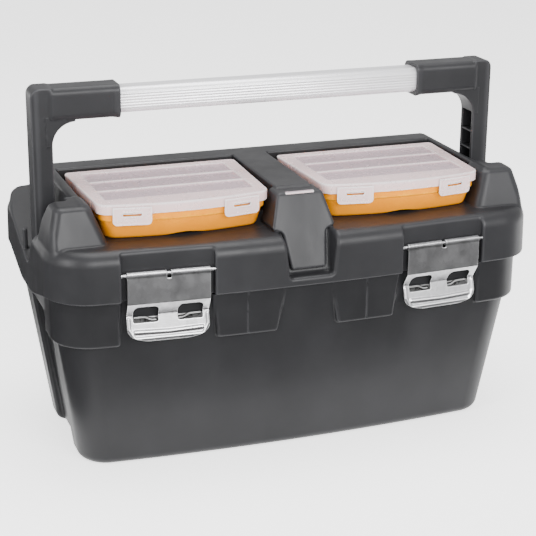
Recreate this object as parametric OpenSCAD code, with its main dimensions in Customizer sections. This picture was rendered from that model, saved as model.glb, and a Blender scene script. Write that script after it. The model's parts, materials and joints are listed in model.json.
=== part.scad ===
// Toolbox with a lift-out tray, two parts organisers in its lid and a folding handle.
// +Z is up, -Y is the front. The origin is on the ground, under the middle of the box.

/* [Overall] */
// Width over the lid's skirt
lid_w = 480; // [400:1:580]
// Depth from the middle of the skirt's front to the back of the hinge knuckles
body_d = 244; // [203:1:293]
// Height of the top of the lid's rim
rim_z = 254; // [246:1:305]
// Height of the top of the raised handle
handle_z = 347.5; // [330:0.5:417]

/* [Bucket] */
// How far each side of the foot stands in from the skirt
foot_side_inset = 32; // [26:1:38]
// How far the front of the foot stands in from the skirt
foot_front_inset = 34; // [28:1:40]
// How far the back of the foot stands in from the hinge knuckles
foot_back_inset = 45; // [38:1:54]
// Draft of the bucket's walls, in degrees
draft = 8.4; // [7:0.1:8.4]
// Thickness of the bucket's and the lid's walls
wall = 3; // [2.5:0.1:3.6]
// Thickness of the bucket's floor
floor_t = 3.5; // [3:0.1:5]
// Height of the shelf that the bucket's rim stands on
shelf_z = 171; // [165:0.5:172]
// Height of the rim above the shelf
lip_h = 7; // [5:0.5:7]
// Height of the underside of the stiffening blocks
block_z = 128; // [110:1:145]
// Width of the channel in each side wall
channel_w = 70; // [50:1:84]
// Depth of the channel in each side wall
channel_d = 7; // [4:0.5:9]
// Rounding of the foot's edge
foot_round = 8; // [5:0.5:10]
// Radius of the bowed front, seen from above
bow_r = 2137; // [1700:1:3000]

/* [Lid] */
// Height of the skirt's lower edge at the front
skirt_z = 173; // [172.5:0.5:176]
// Height of the skirt's lower edge at the middle of each side
skirt_dip_z = 158; // [150:0.5:168]
// Height of the skirt's lower edge at the back, which is the hinge's height too
hinge_z = 176; // [174:0.5:179]
// Height of the ledge in front of the organisers
ledge_z = 219.5; // [215:0.5:226]
// Width of each side strip of the rim, with the arm's slot beside it
side_strip = 8; // [6:0.5:12]
// Half the width of the bridge between the organiser pockets
bridge_half = 18; // [14:1:24]
// Width of the rim's back strip
back_strip = 28; // [22:1:34]
// Corner radius of the lid at the front
lid_front_r = 38; // [28:1:44]
// Corner radius of the lid at the back
lid_back_r = 30; // [22:1:36]
// How far the skirt leans in from its lower edge to its top
skirt_lean = 0.8; // [0.4:0.1:1.5]
// Radius of the hinge knuckles
knuckle_r = 6.5; // [5.5:0.1:6.5]
// Radius of the hinge pins
hinge_pin_r = 2.5; // [1.8:0.1:3]
// Length of one hinge, over its three knuckles
hinge_len = 58; // [46:1:70]

/* [Handle] */
// Height of the handle's pivots
pivot_z = 200; // [199:0.5:204]
// Depth of the arms, front to back
arm_d = 27; // [23:0.5:28]
// Thickness of the arms, side to side
arm_t = 19; // [16:0.5:19]
// Radius of the pivot pins
pivot_pin_r = 5; // [4:0.1:6]
// Depth of the tube, front to back
tube_d = 26; // [22:0.5:27]
// Height of the tube
tube_h = 24; // [20:0.5:25]
// Wall of the tube
tube_wall = 2; // [1.2:0.1:3]
// Length of the tube held in each arm
tube_grip = 40; // [25:1:50]
// Length of each arm's sleeve
sleeve_len = 83; // [70:1:95]
// How far the handle folds back, in degrees from upright
fold = 68; // [60:1:68]

/* [Latches] */
// Width of a latch plate
latch_w = 76; // [62:0.5:80]
// Thickness of a latch plate
latch_t = 1.2; // [0.8:0.1:1.6]
// How far the middle of a latch stands in from the skirt's side
latch_inset = 105; // [98:0.5:108]
// Radius of the wire that a latch turns on
latch_wire_r = 1.5; // [1.2:0.1:1.7]

/* [Organisers] */
// Depth of the gap behind an organiser
organiser_back_gap = 16; // [9:0.5:20]
// Gap beside an organiser in its pocket
organiser_side_gap = 4; // [3:0.5:6]
// How far an organiser's front bulges
organiser_bulge = 10; // [6:0.5:12]
// Wall of a bin
bin_wall = 1.6; // [1.2:0.1:2.2]
// Width of a clip
clip_w = 35; // [28:0.5:40]
// Height of a clip
clip_h = 16.5; // [13:0.5:18]

/* [Tray] */
// Height of the tray's upper edge
tray_z = 168; // [160:0.5:168]
// Depth of the tray
tray_h = 50; // [35:0.5:60]
// Wall of the tray
tray_wall = 2.5; // [1.8:0.1:3]

/* [Hidden] */

$fn = 48;
far = 300;        // reaches past the part in every direction
sliver = 0.01;    // thickness of a slice in a hull
cutter = 50;      // reaches out past the front
run = 0.05;       // radial clearance of a pin that turns in its bore
arc_steps = 8;    // straight steps in a rounded corner

black = [0.16, 0.16, 0.17];
zinc = [0.72, 0.72, 0.73];
clear = [0.90, 0.84, 0.85, 0.5];
amber = [0.93, 0.63, 0.12];

// Outline of the lid and the bucket
half_w = lid_w / 2;
front = body_d / 2;
back = body_d / 2;
hinge_y = back - knuckle_r;
hinge_x = half_w / 2;
skirt_back = hinge_y + 2.5;
foot_half = half_w - foot_side_inset;
foot_front = front - foot_front_inset;
foot_back = back - foot_back_inset;
base_corner = 26;
spread = tan(draft);
shelf_grow = shelf_z * spread;
channel_top = block_z + 7;
lip_half = half_w - wall - 5;
lip_front = front - wall - 10.5;
lip_back = skirt_back - wall - 16;

// Latches: each has its own frame, turned to face square to the bowed front
latch_x = half_w - latch_inset;
latch_gap_w = latch_w + 9;
latch_recess = 7;
latch_yaw = asin(latch_x / bow_r);
latch_wire_z = 197.5;
latch_wire_u = -3.4;
knuckle_wall = 1.4;
latch_crease_u = -8.5;
latch_crease_z = 158;
latch_bend_z = 171;
latch_foot_z = 134;
window_w = 23;
window_h = 16;
window_z = 151;
window_x = 20.5;
catch_wall_u = -13;
catch_gap = 0.6;
catch_pocket_z = 138;

// Handle
arm_r = arm_d / 2;
notch_gap = 1.2;
slot_x = half_w - 28.5;
slot_w = 75;
arm_x = slot_x + 1.5;
notch_front = 33.5;
notch_ramp = 90 - fold - 2;
sleeve_wall = 4;
tube_z = handle_z - sleeve_wall - tube_h / 2;
sleeve_z = tube_z - tube_h / 2 - sleeve_wall;
arm_fillet = 22;
fold_strip = 12.5; // how far in from the slot the folded arms need room
pin_seat = 11.5;
pin_reach = 14;
sleeve_d = tube_d + 6;

// Organisers
pocket_outer = slot_x - 6.5 - side_strip;
pocket_back = skirt_back - 35 - back_strip;
organiser_x = (bridge_half + pocket_outer) / 2;
organiser_half = (pocket_outer - bridge_half) / 2 - organiser_side_gap;
organiser_taper = 5;
organiser_back = pocket_back - organiser_back_gap;
organiser_front = front - 34;
organiser_foot = ledge_z + 0.4;
lid_band = 9.5;
lid_plate = 2.5;
bin_top = rim_z - lid_plate - 1.5;
flange_gap = 0.6;
rod_r = 1.5;
rod_y = organiser_back + 3;
rod_z = rim_z - 6;
clip_x = organiser_half * 0.6;
clip_t = 1.6;
clip_gap = 0.4;
clip_top = rim_z - 2.5;
organiser_bow = pow(organiser_half - organiser_taper, 2) / (2 * organiser_bulge);
clip_yaw = asin(clip_x / organiser_bow);

// Tray
tray_half = slot_x - 14;
tray_front = foot_front - 2;
tray_back = foot_back + 5;
tray_flange = 5;
grip_r = 5;
grip_half = 62;
tray_stand = 20;
tray_middle = (tray_back - tray_front) / 2;

// Centre post and its recess in the skirt
tongue_z = 186;
tongue_gap_z = 181;
tongue_foot = 17;
tongue_neck = 21.5;
tongue_shoulder = 31;
tongue_top = 22;
tongue_gap = 4;

// Posts on the lid
post_sink = 10;   // how far their feet reach down into the lid
rear_post_h = 16;
rear_post_d = 48;
lid_lug = 28;

function bow(x) = x * x / (2 * bow_r);
function unit(v) = v / norm(v);
function wrap(a) = a > 180 ? a - 360 : a < -180 ? a + 360 : a;
function arc(c, r, from, sweep) =
    [for (k = [0:arc_steps]) c + r * [cos(from + sweep * k / arc_steps), sin(from + sweep * k / arc_steps)]];
function corner(a, b, c, r) =
    let (u = unit(a - b), v = unit(c - b), half = acos(u * v) / 2)
    let (centre = b + unit(u + v) * r / sin(half))
    let (p = b + u * r / tan(half) - centre, q = b + v * r / tan(half) - centre)
    let (start = atan2(p[1], p[0]))
    arc(centre, r, start, wrap(atan2(q[1], q[0]) - start));
// An outline whose corners are rounded: each point is [x, y, radius]
function rounded(pts) = [
    for (i = [0:len(pts) - 1])
        let (n = len(pts), b = pts[i], a = pts[(i + n - 1) % n], c = pts[(i + 1) % n])
        each b[2] > 0 ? corner([a[0], a[1]], [b[0], b[1]], [c[0], c[1]], b[2]) : [[b[0], b[1]]]
];

// The plan of the box: straight back and sides, bowed front
module plan(half, to_front, to_back, front_r, back_r) {
    reach = half - front_r - 8;
    polygon(rounded(concat(
        [[half, to_back, back_r], [-half, to_back, back_r]],
        [[-half, bow(half) - to_front, front_r]],
        [for (k = [-4:4]) [reach * k / 4, bow(reach * k / 4) - to_front, 0]],
        [[half, bow(half) - to_front, front_r]]
    )));
}

module base_plan(grow) {
    plan(foot_half + grow, foot_front + grow, foot_back + grow, base_corner + grow / 3, base_corner + grow / 3);
}

module lip_plan(inset) {
    plan(lip_half - inset, lip_front - inset, lip_back - inset, lid_front_r - 8, lid_back_r - 8);
}

module lid_plan(inset) {
    plan(half_w - inset, front - inset, skirt_back - inset, lid_front_r - inset, lid_back_r - inset);
}

module slice(z) {
    translate([0, 0, z]) linear_extrude(sliver) children();
}

// What a front view and a side view have in common
module wedge(front_view, side_view) {
    intersection() {
        rotate([90, 0, 0]) linear_extrude(2 * far, center = true) polygon(front_view);
        rotate([90, 0, 90]) linear_extrude(2 * far, center = true) polygon(side_view);
    }
}

module both_sides() {
    children();
    mirror([1, 0, 0]) children();
}

module along_x(r, from, to, y, z) {
    translate([from, y, z]) rotate([0, 90, 0]) cylinder(r = r, h = to - from);
}

// The right latch's frame: its x runs along the front, its y is zero on the skirt's face
module at_latch() {
    translate([latch_x, bow(latch_x) - front, 0]) rotate([0, 0, latch_yaw]) children();
}

// ---- Bucket

module bucket_form(inset, foot, top) {
    hull() {
        slice(foot) base_plan(-foot_round - inset);
        slice(foot + foot_round * 0.3) base_plan(-foot_round * 0.3 - inset);
        slice(foot + foot_round) base_plan(foot_round * spread - inset);
        slice(top - sliver) base_plan(top * spread - inset);
    }
}

module side_channels(grow) {
    both_sides()
        translate([foot_half - channel_d - grow, -channel_w / 2 - grow, 0])
            rotate([0, draft, 0])
                translate([0, 0, -cutter]) cube([cutter, channel_w + 2 * grow, channel_top + cutter]);
}

module latch_pockets(grow) {
    both_sides() at_latch()
        translate([-latch_gap_w / 2 - grow, -cutter, catch_pocket_z - grow])
            cube([latch_gap_w + 2 * grow, cutter - catch_wall_u + grow, shelf_z + 1 - catch_pocket_z + grow]);
}

module blocks() {
    gap_in = latch_x - latch_gap_w / 2;
    gap_out = latch_x + latch_gap_w / 2;
    intersection() {
        translate([0, 0, block_z]) linear_extrude(shelf_z - block_z) base_plan(shelf_grow);
        both_sides() union() {
            rotate([90, 0, 0]) linear_extrude(front + 1)
                polygon([[30, block_z], [gap_in - 5, block_z], [gap_in, shelf_z], [22, shelf_z]]);
            translate([gap_out, -far, block_z - 1]) cube([far, far - channel_w / 2 - 8, far]);
        }
        difference() {
            translate([-far, -far, 0]) cube(2 * far);
            translate([0, 0, block_z - 1]) linear_extrude(far) base_plan(block_z * spread - wall - 1);
        }
    }
}

module hinge_knuckles() {
    barrel = (hinge_len - lid_lug) / 2 - 1;
    for (x = [-hinge_len / 2, hinge_len / 2 - barrel]) translate([hinge_x + x, 0, 0]) {
        along_x(knuckle_r, 0, barrel, hinge_y, hinge_z);
        translate([0, foot_back + shelf_grow - wall + 1, hinge_z - knuckle_r])
            cube([barrel, hinge_y - foot_back - shelf_grow + wall - 1, knuckle_r - 0.5]);
    }
}

module tray_ledges() {
    both_sides() for (y = [-62, 44])
        translate([tray_half + 1.5, y, tray_z - 7]) cube([60, 16, 4]);
}

module base() {
    color(black) difference() {
        union() {
            difference() {
                bucket_form(0, 0, shelf_z);
                side_channels(0);
                latch_pockets(0);
            }
            blocks();
            translate([0, 0, shelf_z - wall]) linear_extrude(wall) base_plan(shelf_grow - spread * wall);
            translate([0, 0, shelf_z - sliver]) linear_extrude(lip_h + sliver) lip_plan(0);
            both_sides() hinge_knuckles();
        }
        difference() {
            bucket_form(wall, floor_t, shelf_z - wall);
            side_channels(wall);
            latch_pockets(wall);
            tray_ledges();
        }
        translate([0, 0, shelf_z - wall - 1]) linear_extrude(far) lip_plan(wall);
        latch_pockets(0);
        both_sides() along_x(hinge_pin_r, 0, far, hinge_y, hinge_z);
    }
}

// A steel catch plate behind the windows of each latch
module catch_right() {
    depth = latch_crease_u - latch_t - catch_gap - catch_wall_u;
    color(zinc) at_latch() for (x = [-window_x, window_x]) translate([x, 0, 0]) {
        translate([-window_w / 2 - 3, -catch_wall_u - 1.2, window_z - 6]) cube([window_w + 6, 1.2, window_h + 10]);
        translate([-window_w / 2 + 2, -catch_wall_u - depth, window_z + 1]) cube([window_w - 4, depth - 1, 4]);
    }
}

module catch_left() mirror([1, 0, 0]) catch_right();

module hinge_pin_right() {
    color(zinc) along_x(hinge_pin_r, hinge_x - hinge_len / 2 - 1.5, hinge_x + hinge_len / 2 + 1.5, hinge_y, hinge_z);
}

module hinge_pin_left() mirror([1, 0, 0]) hinge_pin_right();

// ---- Lid

// The tip of the arm's notch, where both its sides pass at the given distance from the pivot
function notch_tip(d) =
    let (f = [-cos(notch_front), -sin(notch_front)], r = [sin(notch_ramp), -cos(notch_ramp)])
    [0, pivot_z] + d * (f + r) / (1 + f * r);

module arm_notches(grow) {
    tip = notch_tip(arm_r + notch_gap + grow);
    front_top = tip + 130 * [-sin(notch_front), cos(notch_front)];
    ramp_top = tip + 200 * [cos(notch_ramp), sin(notch_ramp)];
    both_sides() translate([slot_x - grow, 0, 0])
        rotate([90, 0, 90]) linear_extrude(slot_w)
            polygon([tip, front_top, [ramp_top[0], front_top[1]], ramp_top]);
}

// Room for the arms' fillets and sleeves when the handle is folded back
module folded_room(grow) {
    both_sides() translate([slot_x - fold_strip - grow, 0, pivot_z]) rotate([-fold, 0, 0])
        translate([0, -cutter, sleeve_z - pivot_z - arm_fillet - 3 - grow])
            cube([slot_w, cutter + arm_r + 1.5 + grow, far]);
}

module latch_recesses(grow) {
    both_sides() at_latch()
        translate([-latch_gap_w / 2 - grow, -cutter, 100])
            cube([latch_gap_w + 2 * grow, cutter + latch_recess + grow, far]);
}

module organiser_pockets(grow) {
    both_sides()
        translate([bridge_half - grow, -far, ledge_z - grow - 1])
            cube([pocket_outer - bridge_half + 2 * grow, far + pocket_back + grow, far]);
}

module tongue_recess(grow) {
    foot = tongue_foot + tongue_gap + grow;
    neck = tongue_neck + tongue_gap + grow;
    wedge(
        [[-foot, tongue_gap_z - grow], [foot, tongue_gap_z - grow],
         [neck, ledge_z + 3], [-neck, ledge_z + 3]],
        [[-far, tongue_gap_z - grow], [grow - front + 11, tongue_gap_z - grow],
         [grow - front + 27, ledge_z + 3], [-far, ledge_z + 3]]
    );
}

module rim_frame(inset) {
    foot = ledge_z - post_sink;
    top = rim_z - inset;
    wedge(
        [[-slot_x + 0.5 + inset, foot], [slot_x - 0.5 - inset, foot],
         [slot_x - 6.5 - inset, top], [-slot_x + 6.5 + inset, top]],
        [[-front + 40 + inset, foot], [-front + 50 + inset, top], [skirt_back - 35 - inset, top],
         [skirt_back - 14 - inset, top - 14], [skirt_back - 10 - inset, foot]]
    );
}

module front_posts(inset) {
    foot = ledge_z - post_sink;
    top = rim_z - inset;
    both_sides() wedge(
        [[half_w - 62.5 + inset, foot], [half_w - 1 - inset, foot],
         [half_w - 13 - inset, top], [half_w - 45.5 + inset, top]],
        [[-front + 29 + inset, foot], [-front + 46 + inset, top], [-front + 82 - inset, top],
         [-front + 90 - inset, foot]]
    );
}

module rear_posts(inset) {
    foot = ledge_z - post_sink;
    top = ledge_z + rear_post_h - inset;
    both_sides() wedge(
        [[slot_x - 12 + inset, foot], [half_w - 2 - inset, foot],
         [half_w - 8 - inset, top], [slot_x - 12 + inset, top]],
        [[skirt_back - rear_post_d + inset, foot], [skirt_back - 1 - inset, foot], [skirt_back - 6 - inset, top - 5],
         [skirt_back - 22, top], [skirt_back - rear_post_d + inset, top]]
    );
}

module centre_post(inset) {
    top = rim_z - 2 - inset;
    shoulder = ledge_z + 1.5;
    tip = tongue_z + inset;
    wedge(
        [[-tongue_foot + inset, tip], [tongue_foot - inset, tip], [tongue_neck - inset, shoulder - 3],
         [tongue_shoulder - inset, shoulder], [tongue_top - inset, top], [-tongue_top + inset, top],
         [-tongue_shoulder + inset, shoulder], [-tongue_neck + inset, shoulder - 3]],
        [[-front + 7 + inset, tip], [-front + 22 + inset, shoulder], [-front + 35 + inset, top],
         [-front + 60, top], [-front + 60, tip]]
    );
}

module lid_form(inset) {
    round_by = 12;
    union() {
        difference() {
            union() {
                hull() {
                    slice(skirt_dip_z - 1 - inset) lid_plan(inset);
                    slice(ledge_z - round_by) lid_plan(inset + skirt_lean);
                    slice(ledge_z - round_by * 0.3 - inset) lid_plan(inset + skirt_lean + round_by * 0.3);
                    slice(ledge_z - inset - sliver) lid_plan(inset + skirt_lean + round_by);
                }
                difference() {
                    rim_frame(inset);
                    organiser_pockets(inset);
                }
                intersection() {
                    union() {
                        front_posts(inset);
                        rear_posts(inset);
                    }
                    linear_extrude(far) lid_plan(inset + 3);
                }
            }
            arm_notches(inset);
            folded_room(inset);
            latch_recesses(inset);
            tongue_recess(inset);
        }
        centre_post(inset);
    }
}

module below_skirt() {
    rotate([90, 0, 90]) linear_extrude(2 * far, center = true) polygon([
        [-far, 0], [-far, skirt_z], [-front + 47, skirt_z], [-20, skirt_dip_z], [25, skirt_dip_z],
        [skirt_back - 33, hinge_z], [far, hinge_z], [far, 0]
    ]);
}

module lid() {
    color(black) difference() {
        union() {
            difference() {
                lid_form(0);
                difference() {
                    lid_form(wall);
                    both_sides() along_x(pivot_pin_r * 2, slot_x - pin_seat, slot_x, 0, pivot_z);
                }
                below_skirt();
                both_sides() translate([hinge_x - hinge_len / 2 - 2, skirt_back - 8, 100])
                    cube([hinge_len + 4, far, hinge_z + knuckle_r + 3 - 100]);
            }
            both_sides() translate([hinge_x - lid_lug / 2, 0, 0]) {
                along_x(knuckle_r, 0, lid_lug, hinge_y, hinge_z);
                translate([0, skirt_back - wall - 2, hinge_z]) cube([lid_lug, wall + 2, knuckle_r + 6]);
            }
            both_sides() translate([slot_x + arm_t + 4, arm_r + 1, pivot_z - 12]) cube([4, 5, 22]);
        }
        both_sides() along_x(hinge_pin_r + run, hinge_x - lid_lug, hinge_x + lid_lug, hinge_y, hinge_z);
        both_sides() along_x(pivot_pin_r, slot_x - pin_seat - 1, slot_x + 1, 0, pivot_z);
        both_sides() at_latch()
            along_x(latch_wire_r, -latch_gap_w / 2 - 8, latch_gap_w / 2 + 8, -latch_wire_u, latch_wire_z);
        translate([-14.2, -front + 35.5, rim_z - 9]) cube([28.4, 3.4, 20]);
    }
}

module pivot_pin_right() {
    color(zinc) union() {
        along_x(pivot_pin_r, slot_x - pin_seat, arm_x + pin_reach, 0, pivot_z);
        along_x(pivot_pin_r + 2.5, slot_x - pin_seat - 3, slot_x - pin_seat, 0, pivot_z);
    }
}

module pivot_pin_left() mirror([1, 0, 0]) pivot_pin_right();

module latch_wire_right() {
    color(zinc) at_latch()
        along_x(latch_wire_r, -latch_gap_w / 2 - 6, latch_gap_w / 2 + 6, -latch_wire_u, latch_wire_z);
}

module latch_wire_left() mirror([1, 0, 0]) latch_wire_right();

// A clear strip pressed into the slot on top of the centre post
module retainer_strip() {
    color(clear) translate([-14, -front + 35.7, rim_z - 8.8]) cube([28, 3, 7.4]);
}

// ---- Latches

// A bent plate: the side view is swept across the width. u is how far a point stands out from the skirt
module latch_plate() {
    face = latch_wire_u + latch_wire_r + run + knuckle_wall;
    outer = [[face, latch_wire_z], [face, latch_bend_z], [latch_crease_u, latch_crease_z], [face - 1.5, latch_foot_z]];
    inner = [for (k = [3:-1:0]) [outer[k][0] - latch_t, outer[k][1]]];
    translate([-latch_w / 2, 0, 0]) rotate([90, 0, 90]) linear_extrude(latch_w)
        polygon([for (p = concat(outer, inner)) [-p[0], p[1]]]);
}

module latch_right() {
    notch = 3.5;
    color(zinc) at_latch() difference() {
        union() {
            latch_plate();
            along_x(latch_wire_r + run + knuckle_wall, -latch_w / 2, latch_w / 2, -latch_wire_u, latch_wire_z);
        }
        along_x(latch_wire_r + run, -latch_w, latch_w, -latch_wire_u, latch_wire_z);
        translate([-notch / 2, -20, latch_wire_z - 3]) cube([notch, 40, 20]);
        for (x = [-window_x, window_x]) translate([x, 0, window_z]) {
            translate([-window_w / 2, -20, 0]) cube([window_w, 40, window_h - 5]);
            translate([-window_w / 2 + 5, -20, 0]) cube([window_w - 10, 40, window_h]);
            for (s = [-1, 1]) translate([s * (window_w / 2 - 5), 0, window_h - 5])
                rotate([90, 0, 0]) cylinder(r = 5, h = 40, center = true);
        }
        for (s = [-1, 1]) translate([s * latch_w / 2, 0, latch_foot_z - 1])
            rotate([0, s * 30, 0]) cube([14, 40, 26], center = true);
    }
}

module latch_left() mirror([1, 0, 0]) latch_right();

// ---- Handle

module handle_arm_right() {
    outer = arm_x + arm_t;
    sleeve_x = outer - sleeve_len;
    profile = rounded([
        [arm_x, pivot_z, 0], [outer, pivot_z, 0], [outer, handle_z, 9], [sleeve_x, handle_z, 0],
        [sleeve_x, sleeve_z, 0], [arm_x, sleeve_z, arm_fillet]
    ]);
    color(black) difference() {
        union() {
            rotate([90, 0, 0]) linear_extrude(arm_d, center = true) polygon(profile);
            along_x(arm_r, arm_x, outer, 0, pivot_z);
            translate([sleeve_x, -sleeve_d / 2, sleeve_z]) cube([sleeve_len - arm_t - 4, sleeve_d, handle_z - sleeve_z]);
        }
        translate([sleeve_x - 1, 0, tube_z]) rotate([90, 0, 90]) linear_extrude(tube_grip + 1) tube_outline(0);
        along_x(pivot_pin_r + run, arm_x - 1, arm_x + pin_reach + 0.5, 0, pivot_z);
        difference() {
            translate([arm_x - 1, -arm_r + 4, pivot_z + 22]) cube([arm_t - 5, arm_d - 8, sleeve_z - pivot_z - 42]);
            for (z = [pivot_z + 38:18:sleeve_z - 26]) translate([arm_x, -arm_r, z]) cube([arm_t, arm_d, 2]);
        }
    }
}

module handle_arm_left() mirror([1, 0, 0]) handle_arm_right();

module tube_outline(inset) {
    y = tube_d / 2 - inset;
    z = tube_h / 2 - inset;
    polygon(rounded([for (s = [[-1, -1], [1, -1], [1, 1], [-1, 1]]) [s[0] * y, s[1] * z, 7 - inset]]));
}

module handle_tube() {
    half = arm_x + arm_t - sleeve_len + tube_grip;
    color([0.88, 0.87, 0.90]) translate([-half, 0, tube_z]) rotate([90, 0, 90])
        linear_extrude(2 * half) difference() {
            tube_outline(0);
            tube_outline(tube_wall);
        }
}

// ---- Organisers

function organiser_bow_at(x) = x * x / (2 * organiser_bow);

module organiser_plan(inset) {
    back_half = organiser_half - inset;
    front_half = organiser_half - organiser_taper - inset;
    reach = front_half - 14;
    corner_y = organiser_bow_at(front_half) - organiser_front + inset;
    polygon(rounded(concat(
        [[back_half, organiser_back - inset, 5], [-back_half, organiser_back - inset, 5]],
        [[-front_half, corner_y, 9]],
        [for (k = [-4:4]) [reach * k / 4, organiser_bow_at(reach * k / 4) - organiser_front + inset, 0]],
        [[front_half, corner_y, 9]]
    )));
}

module at_organiser() {
    translate([organiser_x, 0, 0]) children();
}

module bin_cavity(inset) {
    hull() {
        slice(organiser_foot + bin_wall + inset) organiser_plan(9 + bin_wall + inset);
        slice(bin_top + 1) organiser_plan(lid_plate - 0.4 + flange_gap + bin_wall + inset);
    }
}

module organiser_bin_right() {
    color(amber) at_organiser() {
        difference() {
            hull() {
                slice(organiser_foot) organiser_plan(9);
                slice(bin_top - sliver) organiser_plan(lid_plate - 0.4 + flange_gap);
            }
            bin_cavity(0);
        }
        along_x(rod_r, -organiser_half * 0.7, organiser_half * 0.7, rod_y, rod_z);
        for (x = [-0.7, 0, 0.7]) translate([x * organiser_half - 2, organiser_back - 4.4, rod_z - 4])
            cube([4, rod_y - organiser_back + 4.4 + rod_r, 4 + rod_r]);
    }
}

module organiser_bin_left() mirror([1, 0, 0]) organiser_bin_right();

module organiser_dividers_right() {
    plate = 1.4;
    low = organiser_foot + bin_wall + 0.2;
    height = bin_top - low - 3;
    color(amber) at_organiser() intersection() {
        bin_cavity(0.2);
        union() {
            for (x = [-organiser_half / 3, organiser_half / 3])
                translate([x - plate / 2, -far, low]) cube([plate, 2 * far, height]);
            translate([-far, (organiser_back - organiser_front) / 2, low]) cube([2 * far, plate, height]);
        }
    }
}

module organiser_dividers_left() mirror([1, 0, 0]) organiser_dividers_right();

module organiser_lid_right() {
    rib = 3;
    border = 11;
    lug = 10;
    depth = organiser_back + organiser_front - 2 * border - 14;
    panel = (depth - 2 * rib) / 3;
    color(clear) at_organiser() difference() {
        union() {
            translate([0, 0, rim_z - lid_band]) linear_extrude(lid_band) organiser_plan(0);
            for (x = [-0.4, 0.4]) translate([x * organiser_half - lug / 2, 0, 0]) {
                along_x(rod_r + 1.7, 0, lug, rod_y, rod_z);
                translate([0, organiser_back - 4, rod_z + 0.5]) cube([lug, rod_y - organiser_back + 4, 4.5]);
            }
        }
        translate([0, 0, rim_z - lid_band - 1]) linear_extrude(lid_band - lid_plate + 1) organiser_plan(lid_plate - 0.4);
        translate([-organiser_half, organiser_back - 6, rim_z - lid_band - 1])
            cube([2 * organiser_half, 6.01, lid_band - lid_plate + 1]);
        for (k = [0:2])
            translate([-organiser_half + border + 4, organiser_back - border - panel - k * (panel + rib), rim_z - 1])
                cube([2 * (organiser_half - border - 4), panel, 2]);
        along_x(rod_r + run, -organiser_half, organiser_half, rod_y, rod_z);
    }
}

module organiser_lid_left() mirror([1, 0, 0]) organiser_lid_right();

// One clip, hung at the lid's front band. side is 1 for the one on the organiser's right
module clip(side) {
    slot_w = 17;
    slot_h = 3;
    x = side * clip_x;
    color(clear) at_organiser() translate([x, organiser_bow_at(x) - organiser_front, clip_top - clip_h])
        rotate([0, 0, side * clip_yaw]) rotate([90, 0, 0]) translate([0, 0, clip_gap]) linear_extrude(clip_t)
            difference() {
                polygon(rounded([[-clip_w / 2, 0, 3], [clip_w / 2, 0, 3], [clip_w / 2, clip_h, 0], [-clip_w / 2, clip_h, 0]]));
                translate([-slot_w / 2, clip_h - 8]) square([slot_w, slot_h]);
            }
}

module clip_right_outer() clip(1);
module clip_right_inner() clip(-1);
module clip_left_outer() mirror([1, 0, 0]) clip(1);
module clip_left_inner() mirror([1, 0, 0]) clip(-1);

// ---- Tray

module tray_box(inset, low, high) {
    hull() {
        slice(low) tray_outline(inset + 3);
        slice(high - sliver) tray_outline(inset);
    }
}

module tray_outline(inset) {
    x = tray_half - inset;
    polygon(rounded([
        [-x, -tray_front + inset, 12], [x, -tray_front + inset, 12],
        [x, tray_back - inset, 12], [-x, tray_back - inset, 12]
    ]));
}

module tray() {
    color(black) difference() {
        union() {
            tray_box(0, tray_z - tray_h, tray_z);
            translate([0, 0, tray_z - 3]) linear_extrude(3) tray_outline(-tray_flange);
        }
        tray_box(tray_wall, tray_z - tray_h + tray_wall, tray_z + 1);
    }
}

module tray_dividers() {
    plate = 2;
    low = tray_z - tray_h + tray_wall + 0.2;
    color(black) intersection() {
        tray_box(tray_wall + 0.2, low, tray_z - 2);
        union() {
            translate([-far, tray_middle - plate / 2, low]) cube([2 * far, plate, far]);
            for (x = [-1, 1]) translate([x * tray_half / 2 - plate / 2, -far, low]) cube([plate, 2 * far, far]);
        }
    }
}

module tray_grip() {
    stem_top = tray_z + tray_stand - grip_r;
    color(black) union() {
        along_x(grip_r, -grip_half, grip_half, tray_middle, stem_top);
        for (s = [-1, 1]) translate([s * (grip_half - 5) - 5, tray_middle - 3, tray_z - 2])
            cube([10, 6, stem_top - tray_z + 2]);
    }
}

base();
catch_left();
catch_right();
hinge_pin_left();
hinge_pin_right();
lid();
pivot_pin_left();
pivot_pin_right();
latch_wire_left();
latch_wire_right();
retainer_strip();
latch_left();
latch_right();
handle_arm_left();
handle_arm_right();
handle_tube();
organiser_bin_left();
organiser_bin_right();
organiser_dividers_left();
organiser_dividers_right();
organiser_lid_left();
organiser_lid_right();
clip_left_outer();
clip_left_inner();
clip_right_inner();
clip_right_outer();
tray();
tray_dividers();
tray_grip();
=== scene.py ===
"""The looks of the toolbox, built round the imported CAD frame.

Each moulded or pressed part is written as a distance field: a function that says how far a point is
outside the part, in millimetres. surface() then finds where the field is zero and makes a mesh of it,
so every edge and inside corner gets the radius that a moulding has.
"""

import json
import math

import bpy
import numpy as np
from mathutils import Matrix, Vector


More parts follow.
